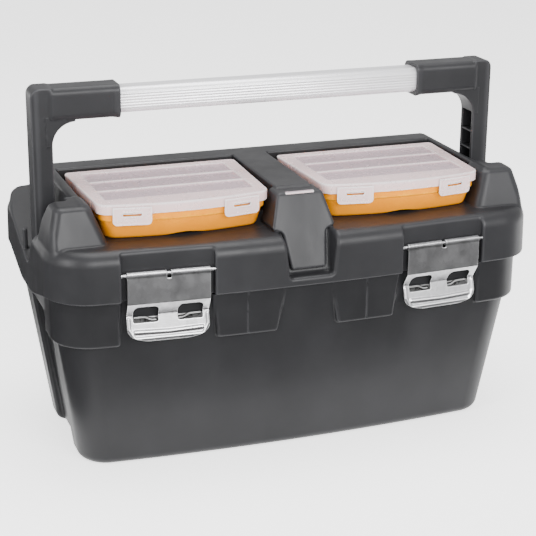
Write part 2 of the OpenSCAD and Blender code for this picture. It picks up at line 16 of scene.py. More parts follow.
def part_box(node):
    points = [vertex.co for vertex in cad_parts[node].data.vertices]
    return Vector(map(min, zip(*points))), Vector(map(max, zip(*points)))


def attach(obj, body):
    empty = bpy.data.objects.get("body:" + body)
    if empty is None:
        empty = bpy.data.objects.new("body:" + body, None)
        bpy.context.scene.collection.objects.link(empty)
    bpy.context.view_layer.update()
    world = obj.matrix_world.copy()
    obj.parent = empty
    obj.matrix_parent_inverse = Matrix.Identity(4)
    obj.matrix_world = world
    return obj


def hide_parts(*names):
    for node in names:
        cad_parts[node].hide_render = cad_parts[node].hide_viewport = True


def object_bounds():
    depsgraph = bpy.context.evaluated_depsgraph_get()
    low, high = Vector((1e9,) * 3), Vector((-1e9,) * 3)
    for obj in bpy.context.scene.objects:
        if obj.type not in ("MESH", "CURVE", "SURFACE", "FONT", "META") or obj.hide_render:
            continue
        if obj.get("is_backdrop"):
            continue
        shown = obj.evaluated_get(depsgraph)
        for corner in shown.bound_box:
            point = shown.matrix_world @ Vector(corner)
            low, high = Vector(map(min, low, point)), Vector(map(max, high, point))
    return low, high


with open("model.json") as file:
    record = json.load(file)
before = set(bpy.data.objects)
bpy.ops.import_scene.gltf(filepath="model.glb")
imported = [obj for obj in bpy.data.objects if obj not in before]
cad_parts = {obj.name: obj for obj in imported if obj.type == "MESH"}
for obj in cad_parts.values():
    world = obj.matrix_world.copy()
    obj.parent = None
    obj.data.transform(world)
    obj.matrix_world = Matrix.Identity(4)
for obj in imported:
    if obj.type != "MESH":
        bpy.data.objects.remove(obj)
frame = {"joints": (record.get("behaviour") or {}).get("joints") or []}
cad_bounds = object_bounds()

MM = 0.001            # millimetres to metres
EDGE_REACH = 0.8      # how far round a point its edge is looked for
BOX_MARGIN = 0.6      # how far outside its CAD node's box a piece's grid starts


def box_mm(node):
    low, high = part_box(node)
    return np.array(low) / MM, np.array(high) / MM


def joint(name):
    """A joint's position in millimetres and its axis."""
    found = next(j for j in frame["joints"] if j["name"] == name)
    return np.array(found["pos_m"]) / MM, np.array(found["axis"])


# ---------------------------------------------------------------- distance fields


def join(a, b, r):
    """What is in either shape, with a fillet of radius r where they meet."""
    return np.maximum(r, np.minimum(a, b)) - np.hypot(np.maximum(r - a, 0), np.maximum(r - b, 0))


def both(a, b, r):
    """What is in both shapes, with the edge between them rounded to radius r."""
    return np.minimum(-r, np.maximum(a, b)) + np.hypot(np.maximum(r + a, 0), np.maximum(r + b, 0))


def cut(a, b, r):
    """Shape a without shape b, with the new edge rounded to radius r."""
    return both(a, -b, r)


def all_of(r, *fields):
    found = fields[0]
    for f in fields[1:]:
        found = both(found, f, r)
    return found


def line(u, v, start, end):
    """How far (u, v) lies to the right of the line from start to end."""
    du, dv = end[0] - start[0], end[1] - start[1]
    return ((u - start[0]) * dv - (v - start[1]) * du) / math.hypot(du, dv)


def slab(value, low, high):
    """Between two parallel planes."""
    return np.abs(value - (low + high) / 2) - (high - low) / 2


def block(p, low, high, r):
    """A box whose edges are all rounded."""
    low, high = np.array(low, float), np.array(high, float)
    q = np.abs(p - (low + high) / 2) - (high - low) / 2 + r
    return np.linalg.norm(np.maximum(q, 0), axis=1) + np.minimum(q.max(1), 0) - r


def rod(p, axis, centre, radius):
    """An endless round bar along x, y or z."""
    across = [k for k in range(3) if k != axis]
    return np.hypot(p[:, across[0]] - centre[0], p[:, across[1]] - centre[1]) - radius


# ---------------------------------------------------------------- from field to mesh

BLOCK = 8
CORNERS = [(i, j, k) for i in (0, 1) for j in (0, 1) for k in (0, 1)]
EDGES = [(a, a | bit) for a in range(8) for bit in (1, 2, 4) if not a & bit]
# Where x, y and z are found after each axis in turn has been moved to the front
IN_ORDER = ((0, 1, 2), (1, 0, 2), (1, 2, 0))


def sample(field, origin, shape, step):
    """The field on a grid. Only blocks of the grid that the surface may cross are worked out point by point."""
    blocks = [-(-n // BLOCK) for n in shape]
    index = np.indices(blocks).reshape(3, -1).T
    middle = origin + (index * BLOCK + (BLOCK - 1) / 2) * step
    far = field(middle)
    near = np.abs(far) < step * BLOCK * 1.15 + 1.0
    grid = np.where(far < 0, -1.0, 1.0).astype(np.float32).reshape(blocks)
    grid = grid.repeat(BLOCK, 0).repeat(BLOCK, 1).repeat(BLOCK, 2)
    offsets = np.indices((BLOCK,) * 3).reshape(3, -1).T
    chunk = 1500
    active = index[near]
    for start in range(0, len(active), chunk):
        cells = (active[start:start + chunk, None, :] * BLOCK + offsets).reshape(-1, 3)
        grid[cells[:, 0], cells[:, 1], cells[:, 2]] = field(origin + cells * step)
    return grid[:shape[0], :shape[1], :shape[2]]


def settle(field, points, rounds=3, reach=0.02):
    """Moves points onto the surface, and returns them with the surface's normals there."""
    for turn in range(rounds + 1):
        here = field(points)
        slope = np.stack([field(points + reach * e) - field(points - reach * e) for e in np.eye(3)], 1)
        slope /= 2 * reach
        size = np.maximum((slope**2).sum(1), 0.25)
        if turn < rounds:
            points = points - slope * np.clip(here / size, -0.6, 0.6)[:, None]
    return points, slope / np.maximum(np.linalg.norm(slope, axis=1), 1e-6)[:, None]


def surface(field, low, high, step):
    """Vertices and quads of where the field is zero, by surface nets: one vertex in each cell that it crosses."""
    origin = np.array(low, float) - 2 * step + 0.013
    shape = tuple(int(math.ceil((h - o) / step)) + 3 for h, o in zip(high, origin))
    grid = sample(field, origin, shape, step)
    inside = grid < 0
    end = [n - 1 for n in shape]
    count = sum(inside[i:end[0] + i, j:end[1] + j, k:end[2] + k].astype(np.uint8) for i, j, k in CORNERS)
    mixed = (count > 0) & (count < 8)
    cells = np.argwhere(mixed)
    number = np.full(mixed.shape, -1, np.int64)
    number[mixed] = np.arange(len(cells))
    values = [grid[cells[:, 0] + i, cells[:, 1] + j, cells[:, 2] + k] for i, j, k in CORNERS]
    total, hits = np.zeros((len(cells), 3)), np.zeros(len(cells))
    for a, b in EDGES:
        crosses = (values[a] < 0) != (values[b] < 0)
        t = np.where(crosses, values[a] / np.where(crosses, values[a] - values[b], 1), 0)
        at = np.array(CORNERS[a]) + t[:, None] * (np.array(CORNERS[b]) - np.array(CORNERS[a]))
        total += at * crosses[:, None]
        hits += crosses
    points = origin + (cells + total / hits[:, None]) * step
    quads = []
    for axis in range(3):
        first = np.moveaxis(inside, axis, 0)
        changes = np.argwhere(first[:-1] != first[1:])
        starts_inside = first[:-1][tuple(changes.T)]
        at = changes[:, IN_ORDER[axis]]
        u, v = [k for k in range(3) if k != axis]
        ok = (at[:, u] > 0) & (at[:, v] > 0)
        at, starts_inside = at[ok], starts_inside[ok]
        ring = []
        for du, dv in ((1, 1), (0, 1), (0, 0), (1, 0)):
            cell = at.copy()
            cell[:, u] -= du
            cell[:, v] -= dv
            ring.append(number[tuple(cell.T)])
        quad = np.stack(ring, 1)
        flip = starts_inside if axis == 1 else ~starts_inside
        quad[flip] = quad[flip][:, ::-1]
        quads.append(quad)
    quads = np.concatenate(quads)
    quads = quads[(quads >= 0).all(1)]
    return evened(field, points, quads, step), quads


def evened(field, points, quads, step):
    """Moves the points onto the surface, and slides them along it until they are evenly spaced."""
    start = points
    links = np.concatenate([quads, np.roll(quads, 1, 1)]).ravel()
    others = np.concatenate([np.roll(quads, -1, 1), quads]).ravel()
    count = np.maximum(np.bincount(links, minlength=len(points)), 1)
    for _ in range(3):
        points, normals = settle(field, points, rounds=1)
        mean = np.stack([np.bincount(links, points[others, k], len(points)) for k in range(3)], 1) / count[:, None]
        slide = mean - points
        slide -= normals * (slide * normals).sum(1)[:, None]
        points = start + np.clip(points + slide * 0.5 - start, -0.75 * step, 0.75 * step)
    points = settle(field, points, rounds=2)[0]
    return start + np.clip(points - start, -0.9 * step, 0.9 * step)


def mesh_of(name, points, quads):
    mesh = bpy.data.meshes.new(name)
    mesh.vertices.add(len(points))
    mesh.vertices.foreach_set("co", (points * MM).astype(np.float32).ravel())
    mesh.loops.add(len(quads) * 4)
    mesh.loops.foreach_set("vertex_index", quads.astype(np.int32).ravel())
    mesh.polygons.add(len(quads))
    mesh.polygons.foreach_set("loop_start", np.arange(0, len(quads) * 4, 4, dtype=np.int32))
    mesh.update(calc_edges=True)
    mesh.validate()
    return mesh


def piece(name, mesh, material, body, node):
    """A shown piece that rides on a body and stands for a CAD node."""
    thing = bpy.data.objects.new(name, mesh)
    bpy.context.scene.collection.objects.link(thing)
    mesh.materials.clear()
    mesh.materials.append(material)
    mesh.shade_smooth()
    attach(thing, body)
    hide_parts(node)
    return thing


def moulded(name, field, node, step, keep, material, body):
    """A piece made from a field. keep is the share of its triangles left after thinning out the flat areas."""
    low, high = box_mm(node)
    points, quads = surface(field, low - BOX_MARGIN, high + BOX_MARGIN, step)
    mesh = thinned(mesh_of(name, points, quads), keep)
    finish_normals(mesh, field)
    return piece(name, mesh, material, body, node)


def thinned(mesh, keep):
    """The mesh with most of the triangles of its flat areas taken out."""
    thing = bpy.data.objects.new("thinning", mesh)
    bpy.context.scene.collection.objects.link(thing)
    fewer = thing.modifiers.new("fewer", "DECIMATE")
    fewer.ratio = keep
    made = bpy.data.meshes.new_from_object(thing.evaluated_get(bpy.context.evaluated_depsgraph_get()))
    made.name = mesh.name
    bpy.data.objects.remove(thing)
    bpy.data.meshes.remove(mesh)
    return made


def finish_normals(mesh, field):
    """Shades the mesh with the field's own normals, and writes two marks on it for the materials.

    edge is above a half on outer edges and below it in corners. sunk is 1 on the upward faces just under the rim,
    which are the panels of the organisers' covers.
    """
    points = np.zeros(len(mesh.vertices) * 3, np.float32)
    mesh.vertices.foreach_get("co", points)
    points, normals = settle(field, points.reshape(-1, 3).astype(float) / MM, rounds=1)
    mesh.vertices.foreach_set("co", (points * MM).astype(np.float32).ravel())
    mesh.shade_smooth()
    mesh.normals_split_custom_set_from_vertices(normals.astype(np.float32))
    around_it = sum(field(points + EDGE_REACH * e) + field(points - EDGE_REACH * e) for e in np.eye(3))
    turning = (around_it - 6 * field(points)) / EDGE_REACH
    edge = mesh.attributes.new("edge", "FLOAT", "POINT")
    edge.data.foreach_set("value", np.clip(0.5 + 0.5 * turning, 0, 1).astype(np.float32))
    sunk = mesh.attributes.new("sunk", "FLOAT", "POINT")
    z = points[:, 2]
    in_panel = np.clip((RIM - 0.5 - z) / 0.9, 0, 1) * (z > RIM - 2.0) * (normals[:, 2] > 0.4)
    sunk.data.foreach_set("value", in_panel.astype(np.float32))


def mirrored(name, source, body, node):
    """The same piece on the box's other side."""
    mesh = source.data.copy()
    mesh.name = name
    mesh.transform(Matrix.Diagonal((-1, 1, 1, 1)))
    mesh.flip_normals()
    return piece(name, mesh, source.data.materials[0], body, node)


# ---------------------------------------------------------------- sizes, in millimetres

HALF_W, BACK, RIM = box_mm("lid")[1]
FRONT = BACK
HINGE = joint("lid_hinge")[0]
PIVOT = joint("handle_fold")[0]
SKIRT_BACK = HINGE[1] + 2.5
BOW = 2137.0             # radius of the bowed front
WALL = 3.0
LEDGE = 219.5            # top of the lid in front of the organisers
SHELF = 171.0            # where the bucket ends under the lid's skirt
DRAFT = math.tan(math.radians(8.4))  # lean of the bucket's walls
SLOT = HALF_W - 28.5     # inner side of the handle arms' notches
CORNER = (38.0, 30.0)    # the lid's front and back corner radius
HINGE_R, PIN_HOLE_R = 6.5, 2.6
TONGUE_FOOT = 186        # lower end of the centre post's tongue
FOLDED = math.radians(68)  # how far back the handle folds


def plan(x, y, half, front, back, front_r, back_r, bow=BOW):
    """The box seen from above: straight back and sides, bowed front."""
    bowed = (x * x / (2 * bow) - front - y) / np.hypot(1, x / bow)
    return both(both(np.abs(x) - half, y - back, back_r), bowed, front_r)


def lid_plan(p, inset=0.0):
    front_r, back_r = CORNER
    return plan(p[:, 0], p[:, 1], HALF_W - inset, FRONT - inset, SKIRT_BACK - inset, front_r, back_r)


def bucket_plan(p, grow):
    r = 26 + grow / 3
    return plan(p[:, 0], p[:, 1], HALF_W - 32 + grow, FRONT - 34 + grow, BACK - 45 + grow, r, r)


# A latch's own frame: along the front, out of the skirt's face, and up
LATCH_X = HALF_W - 105
LATCH_YAW = math.asin(LATCH_X / BOW)
LATCH_AT = np.array([LATCH_X, LATCH_X**2 / (2 * BOW) - FRONT])
LATCH_GAP = 42.5
WIRE_U, WIRE_Z = -3.4, 197.5


def latch_frame(p):
    dx, dy = np.abs(p[:, 0]) - LATCH_AT[0], p[:, 1] - LATCH_AT[1]
    c, s = math.cos(LATCH_YAW), math.sin(LATCH_YAW)
    return dx * c + dy * s, dx * s - dy * c, p[:, 2]


# ---------------------------------------------------------------- bucket


def skirt_edge(y):
    """Height of the skirt's lower edge, which dips at the middle of each side."""
    return sum(np.interp(y + k, [-75, -20, 25, 85], [173, 158, 158, 176]) for k in (-6, -2, 2, 6)) / 4


def bucket(p):
    x, y, z = np.abs(p[:, 0]), p[:, 1], p[:, 2]
    grow = np.clip(z, 0, SHELF) * DRAFT
    body = all_of(8, bucket_plan(p, grow) * 0.985, -z)
    channel = both(slab(y, -35, 35), HALF_W - 39 + grow - x, 2.5)
    channel = both(channel, z - 138, 3)
    body = cut(body, channel, 3.0)
    lx, u, _ = latch_frame(p)
    pocket = all_of(2.0, np.abs(lx) - LATCH_GAP, -13 - u, 138 - z)
    body = cut(body, pocket, 1.5)
    # The stiffening blocks stand upright under the skirt
    foot = 128
    upright = bucket_plan(p, SHELF * DRAFT)
    inner = bucket_plan(p, (foot - 2) * DRAFT - WALL) + 1
    inner_side, outer_side = line(x, z, (22, SHELF), (30, foot)), line(x, z, (87.5, foot), (92.5, SHELF))
    middle = all_of(3.0, upright, foot - z, inner_side, outer_side)
    corner = all_of(3.0, upright, foot - z, LATCH_X + LATCH_GAP - x, y + 43)
    relief = all_of(0.3, slab(x, 58.4, 59.4), -upright - 0.45)
    middle = cut(middle, relief, 0.3)
    blocks = both(np.minimum(middle, corner), -inner, 1)
    body = join(body, blocks, 1.8)
    body = both(body, z - SHELF, 1.2)
    lip = plan(p[:, 0], y, HALF_W - 8, FRONT - 13.5, SKIRT_BACK - 19, 30, 22)
    body = join(body, all_of(0.8, lip, z - SHELF - 7, SHELF - 4 - z), 0.8)
    inside = all_of(5, bucket_plan(p, grow - WALL), 3.5 - z)
    inside = cut(inside, channel - WALL, 3)
    inside = cut(inside, pocket - WALL, 2)
    inside = both(inside, lip + WALL, 1.5)
    ledge = np.minimum(slab(y, -62, -46), slab(y, 44, 60))
    ledge = all_of(0.8, ledge, slab(z, 161, 165), HALF_W - 41 - x)
    inside = cut(inside, ledge, 0.8)
    body = cut(body, inside, 0.9)
    for start, stop in ((91, 106), (134, 149)):
        barrel = both(rod(p, 0, HINGE[1:], HINGE_R), slab(x, start, stop), 0.8)
        web = all_of(0.8, slab(x, start, stop), slab(z, 169.5, 175.5), slab(y, 99, HINGE[1]))
        body = join(body, np.minimum(barrel, web), 1.0)
    return cut(body, rod(p, 0, HINGE[1:], PIN_HOLE_R), 0.3)


# ---------------------------------------------------------------- lid


def between(z, low, low_value, high, high_value):
    """A plane's place at height z, on the line through two heights."""
    return low_value + (z - low) * (high_value - low_value) / (high - low)


def frame_wedge(p, r, inner, outer, front, back, top):
    """A post: each side leans on its own straight line, given by its place at the foot and at the rim."""
    x, y, z = np.abs(p[:, 0]), p[:, 1], p[:, 2]
    foot, head = LEDGE - 10, RIM
    sides = [between(z, foot, front[0], head, front[1]) - y, y - between(z, foot, back[0], head, back[1]), z - top]
    sides.append(x - between(z, foot, outer[0], head, outer[1]))
    if inner:
        sides.append(between(z, foot, inner[0], head, inner[1]) - x)
    return all_of(r, *sides)


def lid_form(p):
    """The lid's outside, as if it were solid."""
    x, y, z = np.abs(p[:, 0]), p[:, 1], p[:, 2]
    lean = np.clip((z - 158) / 54, 0, 1) * 0.8
    slab_part = both(lid_plan(p, lean), z - LEDGE, 13)
    rim = frame_wedge(p, 4.5, None, (211, 205), (-82, -72), (108, 83), RIM)
    ramp = (y - 83) * 14 / 25.24 + (z - RIM) * 21 / 25.24
    rim = both(rim, ramp, 5)
    pocket = all_of(2.5, slab(x, 18, 197), y - 55, LEDGE - z)
    rim = cut(rim, pocket, 2.2)
    form = join(slab_part, rim, 2.0)
    tilt = z - RIM + (y + 58) * -0.04
    post = both(frame_wedge(p, 8.5, (177.5, 194.5), (239, 227), (-93, -76), (-32, -40), RIM + 4), tilt, 4.0)
    post = both(post, lid_plan(p, 2.0), 6)
    form = join(form, post, 1.8)
    rear = frame_wedge(p, 5.0, (199.5, 199.5), (238, 226), (70, 70), (117, 104), 235.5)
    rear = both(rear, lid_plan(p, 2.0), 4)
    form = join(form, rear, 1.6)
    # The notch that an arm stands in, and its ramp to fold onto
    tip = (-5.86, 182.2)
    steep, ramp_angle = math.radians(33.5), math.radians(20)
    front_side = line(y, z, tip, (tip[0] - math.sin(steep), tip[1] + math.cos(steep)))
    ramp_side = line(y, z, tip, (tip[0] + math.cos(ramp_angle), tip[1] + math.sin(ramp_angle)))
    notch = all_of(7.0, -front_side, ramp_side)
    notch = both(notch, SLOT - x, 2.0)
    form = cut(form, notch, 2.0)
    # Room for the folded arm's fillet: along and off are measured from the arm's own line
    dy, dz = y - PIVOT[1], z - PIVOT[2]
    c, s = math.cos(FOLDED), math.sin(FOLDED)
    along, off = dy * s + dz * c, dy * c - dz * s
    room = all_of(1.0, SLOT - 9.5 - x, 90.5 - along, off - 15)
    form = cut(form, room, 1.5)
    lx, u, _ = latch_frame(p)
    recess = all_of(2.0, np.abs(lx) - LATCH_GAP, -7 - u)
    form = cut(form, recess, 2.2)
    # The centre post: a head on the ledge and a tongue down the front, in a gap of its own
    gap_foot, gap_top = TONGUE_FOOT - 5, LEDGE + 3
    depth = y - between(z, gap_foot, 11 - FRONT, gap_top, 27 - FRONT)
    gap = all_of(3.0, line(x, z, (21, gap_foot), (25.5, gap_top)), gap_foot - z, depth)
    form = cut(form, gap, 3.5)
    neck, shoulder, top = (21.5, LEDGE - 1.5), (31, LEDGE + 1.5), (22, RIM - 2)
    lower_face = between(z, TONGUE_FOOT, 7 - FRONT, shoulder[1], 22 - FRONT) - y
    upper_face = between(z, shoulder[1], 22 - FRONT, top[1], 35 - FRONT) - y
    head = all_of(3.0, line(x, z, neck, shoulder), line(x, z, shoulder, top), z - top[1])
    tongue = all_of(2.5, line(x, z, (17, TONGUE_FOOT), neck), TONGUE_FOOT - z, z - 230)
    return join(form, all_of(3.0, join(head, tongue, 2.0), lower_face, upper_face, y + 62), 1.2)


def lid(p):
    """The lid as a moulding: walls, the bosses of the handle's pivots, and the hinges' lugs."""
    x, y, z = np.abs(p[:, 0]), p[:, 1], p[:, 2]
    outside = lid_form(p)
    boss = both(rod(p, 0, PIVOT[1:], 10), slab(x, SLOT - 11.5, SLOT), 1)
    wall = WALL + 0.7 * np.clip((z - 180) / 10, 0, 1)
    form = cut(outside, cut(outside + wall, boss, 1), 0.9)
    form = both(form, skirt_edge(y) - z, 1.2)
    gap = all_of(2.0, slab(x, 89, 151), SKIRT_BACK - 8 - y, z - 185.5)
    form = cut(form, gap, 1.0)
    lug_length = slab(x, 106.2, 133.8)
    lug = both(rod(p, 0, HINGE[1:], HINGE_R), lug_length, 0.8)
    web = all_of(1.0, lug_length, slab(y, 113, 118), slab(z, 176, 190))
    form = join(form, np.minimum(lug, web), 1.0)
    ear = block(np.stack([x, y, z], 1), (234.2, 14.5, 186), (238.5, 19.5, 210), 1.5)
    form = join(form, ear, 1.5)
    form = both(form, y - SKIRT_BACK - 4, 0.5)
    return cut(form, rod(p, 0, HINGE[1:], PIN_HOLE_R), 0.3)


# ---------------------------------------------------------------- latches


def bent(points, r):
    """A line through the points, with each bend rounded to radius r."""
    points = [np.array(q, float) for q in points]
    out = [points[0]]
    for a, b, c in zip(points, points[1:], points[2:]):
        into, away = (b - a) / np.linalg.norm(b - a), (c - b) / np.linalg.norm(c - b)
        half_turn = math.acos(float(np.clip(into @ away, -1, 1))) / 2
        reach = r * math.tan(half_turn)
        start, stop = b - into * reach, b + away * reach
        for t in np.linspace(0, 1, 5):
            out.append((1 - t) ** 2 * start + 2 * t * (1 - t) * b + t**2 * stop)
    return out + [points[-1]]


def from_path(u, v, points):
    """Distance in the plane to a line through the points."""
    found = None
    for a, b in zip(points, points[1:]):
        du, dv = b[0] - a[0], b[1] - a[1]
        t = np.clip(((u - a[0]) * du + (v - a[1]) * dv) / (du * du + dv * dv), 0, 1)
        d = np.hypot(u - a[0] - t * du, v - a[1] - t * dv)
        found = d if found is None else np.minimum(found, d)
    return found


LATCH_HALF = 38.0
LATCH_T = 1.2
UPPER_U = -0.45 - LATCH_T / 2   # middle of the sheet above its first bend
PLATE_LINE = bent([(UPPER_U, 199), (UPPER_U, 171), (-9.1, 158), (-2.55, 134)], 1.6)
WINDOW_X = 20.5                 # from a latch's middle to a window's
ROLL_R, ROLL_HOLE_R = 2.95, 1.55


def bead(d, width):
    """A pressed rib's height, from 0 to 1, at distance d from its middle."""
    return np.clip(1 - (d / width) ** 2, 0, 1) ** 2


def latch(p):
    """A bent plate with two windows, pressed ribs round its lower edge, and a roll round its wire."""
    lx, u, z = latch_frame(p)
    ax = np.abs(lx)
    border = from_path(ax, z, [(36.2, 155), (36.2, 146), (31.5, 137.4), (0, 137.4)])
    ridge = from_path(ax, z, [(31, 143.2), (0, 142.2)])
    pressed = 0.75 * bead(border, 2.2) + 0.95 * bead(ridge, 2.6)
    plate = from_path(u - pressed, z, PLATE_LINE) - LATCH_T / 2
    outline = all_of(4.0, ax - LATCH_HALF, 134.4 - z, line(ax, z, (25, 134), (39, 141.5)))
    plate = both(plate, outline, 0.35)
    window = all_of(1.5, np.abs(ax - WINDOW_X) - 11.5, 151 - z)
    window = both(window, z - 167, 5)
    plate = cut(plate, window, 0.35)
    from_wire = np.hypot(u - WIRE_U, z - WIRE_Z)
    shape = join(plate, both(from_wire - ROLL_R, ax - LATCH_HALF, 0.5), 0.8)
    shape = cut(shape, from_wire - ROLL_HOLE_R, 0.2)
    return cut(shape, all_of(1.0, ax - 1.9, 193.5 - z), 0.4)


def catch(p):
    """The two small plates behind a latch's windows, each with a wavy lip."""
    lx, u, z = latch_frame(p)
    across = np.abs(np.abs(lx) - WINDOW_X)
    plate = all_of(0.4, across - 14.5, slab(z, 145, 154.5), slab(u, -13, -11.8))
    lip_z = 153.2 + 1.6 * np.tanh((np.abs(lx) - WINDOW_X + 3) / 2.5)
    nose = all_of(0.5, across - 10.5, slab(z, lip_z - 1.0, lip_z + 0.6), slab(u, -12.4, -10.5))
    return join(plate, nose, 0.8)


# ---------------------------------------------------------------- handle

SLEEVE_IN = box_mm("handle_arm_right")[0][0]
ARM_OUT, _, TOP = box_mm("handle_arm_right")[1]
ARM_IN = ARM_OUT - 19
SLEEVE_Z = TOP - 32      # the sleeve's underside
TUBE_Z = TOP - 16        # the tube's middle
LEG_HALF = 13.5
GUSSET_R = 22


def tube_gap(y, z, grow):
    """The tube's rounded outline, grown by grow."""
    return all_of(7, np.abs(y) - 13 - grow, np.abs(z - TUBE_Z) - 12 - grow)


def arm(p):
    """An arm with its sleeve for the tube, a gusset between them, and a ribbed channel inside."""
    x, y, z = np.abs(p[:, 0]), np.abs(p[:, 1]), p[:, 2]
    leg = all_of(1.2, slab(x, ARM_IN, ARM_OUT), y - LEG_HALF)
    chamfer = (y - LEG_HALF + (x - ARM_OUT + 6) * 0.42) / math.hypot(1, 0.42)
    leg = both(leg, chamfer, 0.8)
    crown = both(z - TOP, x - ARM_OUT, 9)
    leg = both(leg, crown, 1.5)
    foot = rod(p, 0, PIVOT[1:], LEG_HALF)
    leg = both(leg, np.where(z > PIVOT[2], y - LEG_HALF, foot), 1.0)
    neck = np.clip((x - SLEEVE_IN) / 8, 0, 1)
    flare = 0.9 * neck * neck * (3 - 2 * neck)
    half = TOP - TUBE_Z
    sleeve = both(y - half + flare, np.abs(z - TUBE_Z) - half + flare * (z < TUBE_Z), 7.0)
    sleeve = both(sleeve, z - TOP, 0.8)
    sleeve = both(sleeve, SLEEVE_IN - x, 1.0)
    sleeve = all_of(2.0, sleeve, x - 214)
    gusset_x, gusset_z = ARM_IN - GUSSET_R, SLEEVE_Z - GUSSET_R
    gusset = all_of(1.2, gusset_x - x, x - ARM_IN - 6, gusset_z - z, z - SLEEVE_Z - 6, y - LEG_HALF)
    gusset = both(gusset, GUSSET_R - np.hypot(x - gusset_x, z - gusset_z), 1.2)
    shape = all_of(0.6, np.minimum(join(leg, sleeve, 3.0), gusset), z - TOP, x - ARM_OUT, y - 16)
    bore = both(tube_gap(y, z, 0.1), x - 189, 0.5)
    shape = cut(shape, bore, 0.6)
    channel = all_of(1.5, x - ARM_IN - 14, y - 9.5, PIVOT[2] + 22 - z, z - 295)
    pitch = 18
    webs = np.abs(np.mod(z - 239 + pitch / 2, pitch) - pitch / 2) - 1.0
    webs = both(webs, z - 290, 0.4)
    channel = cut(channel, webs, 0.4)
    shape = cut(shape, channel, 0.8)
    return cut(shape, both(rod(p, 0, PIVOT[1:], 5.05), x - 227.5, 0.3), 0.4)


# ---------------------------------------------------------------- organisers

ORG_X = 107.5            # from the box's middle to an organiser's
ORG_BOW = 324.0          # radius of its bowed front
ORG_FRONT, ORG_BACK = -88, 39
BIN_FOOT = box_mm("organiser_bin_right")[0][2]
BIN_TOP = 250
COVER_AXIS = (42, 248)   # y and z of the bar that a cover turns on
HOLDER_X = 59.85         # the bar's outer holders


def across_organiser(p):
    """How far a point is to the side of its organiser's middle."""
    return np.abs(np.abs(p[:, 0]) - ORG_X)


def organiser_plan(p, inset):
    """An organiser seen from above: wider at the back, bowed in front."""
    x, y = across_organiser(p), p[:, 1]
    side = x - between(y, -85, 80.5, ORG_BACK, 85.5) + inset
    bowed = (x * x / (2 * ORG_BOW) + ORG_FRONT + inset - y) / np.hypot(1, x / ORG_BOW)
    return both(both(side, y - ORG_BACK + inset, 5), bowed, 9.0)


def bin_inset(z):
    """How far the bin's wall stands in from the cover's edge. It leans, and steps out under the cover."""
    return np.interp(z, [BIN_FOOT, 236.6, 238.2, BIN_TOP], [9.0, 4.6, 2.8, 2.7])


def organiser_bin(p):
    """A thin-walled bin with an arch under its front, and the bar for the cover held at its back."""
    x, y, z = across_organiser(p), p[:, 1], p[:, 2]
    wall = 1.6
    outside = organiser_plan(p, bin_inset(z))
    arch = both(np.hypot(x, z - BIN_FOOT + 52) - 54.6, y + 66, 1.0)
    outside = cut(outside, arch, 0.8)
    shape = both(outside, BIN_FOOT - z, 3.0)
    shape = cut(shape, all_of(2.0, outside + wall, BIN_FOOT + wall - z), 0.5)
    shape = both(shape, z - BIN_TOP, 0.5)
    bar = both(rod(p, 0, COVER_AXIS, 1.5), x - HOLDER_X + 0.05, 0.4)
    holders = np.minimum(np.abs(x), np.abs(x - HOLDER_X))
    holder = all_of(0.5, holders - 2, slab(y, 34.6, 43.4), slab(z, 244, 249.4))
    return join(shape, np.minimum(bar, holder), 0.4)


def dividers(p):
    x, y, z = across_organiser(p), p[:, 1], p[:, 2]
    plates = np.minimum(slab(x, 27.8, 29.2), slab(y, -24.5, -23.1))
    return all_of(0.45, plates, slab(z, BIN_FOOT + 1.8, 247), organiser_plan(p, bin_inset(z) + 2.0))


def cover(p):
    """A clear cover with three sunk panels between raised bars, and lugs round the bin's bar."""
    x, y, z = across_organiser(p), p[:, 1], p[:, 2]
    ceiling = RIM - 2.5
    shape = both(organiser_plan(p, 0), z - RIM, 1.6)
    shape = both(shape, RIM - 9.5 - z, 0.5)
    under = both(organiser_plan(p, 2.1), z - ceiling, 1.0)
    shape = cut(shape, both(under, z - RIM + 12, 0.5), 0.4)
    behind = all_of(0.5, 33 - y, z - ceiling)
    shape = cut(shape, behind, 0.4)
    border, front_border, bar, count = 11, 25, 3, 3
    panel = (ORG_BACK - ORG_FRONT - border - front_border - (count - 1) * bar) / count
    backs = [ORG_BACK - border - k * (panel + bar) for k in range(count)]
    panels = np.minimum.reduce([slab(y, back - panel, back) for back in backs])
    sunk = all_of(1.6, panels, x - 70.5, RIM - 1.7 - z)
    shape = cut(shape, sunk, 0.7)
    lugs = np.abs(x - 34.2) - 5
    ring = both(rod(p, 0, COVER_AXIS, 3.2), lugs, 0.5)
    reach = all_of(0.6, lugs, slab(y, 35, COVER_AXIS[0]), slab(z, 248.5, 253))
    shape = join(shape, np.minimum(ring, reach), 0.5)
    return cut(shape, rod(p, 0, COVER_AXIS, 1.55), 0.2)


CLIP_X = 51.3            # from an organiser's middle to a clip's
CLIP_YAW = math.asin(CLIP_X / ORG_BOW)


def clip(side):
    """The field of one of the right organiser's clips. side is 1 for the outer clip and -1 for the inner one."""
    at = (ORG_X + side * CLIP_X, CLIP_X**2 / (2 * ORG_BOW) + ORG_FRONT)
    c, s = math.cos(side * CLIP_YAW), math.sin(side * CLIP_YAW)

    def field(p):
        dx, dy, z = p[:, 0] - at[0], p[:, 1] - at[1], p[:, 2]
        lx, out = dx * c + dy * s, dx * s - dy * c
        ax = np.abs(lx)
        outline = both(both(ax - 17.5, 235 - z, 4.0), z - 251.5, 0.5)
        plate = both(outline, slab(out, 0.4, 1.75), 0.3)
        raised = slab(out, 0.8, 2.0)
        rim = both(both(outline, -outline - 1.5, 0.3), raised, 0.35)
        shape = join(plate, rim, 0.3)
        slot = all_of(1.2, ax - 8.5, slab(z, 243.5, 246.5))
        lifted = both(both(slot - 1.3, -slot, 0.3), raised, 0.3)
        shape = join(shape, lifted, 0.3)
        return cut(shape, slot, 0.3)

    return field


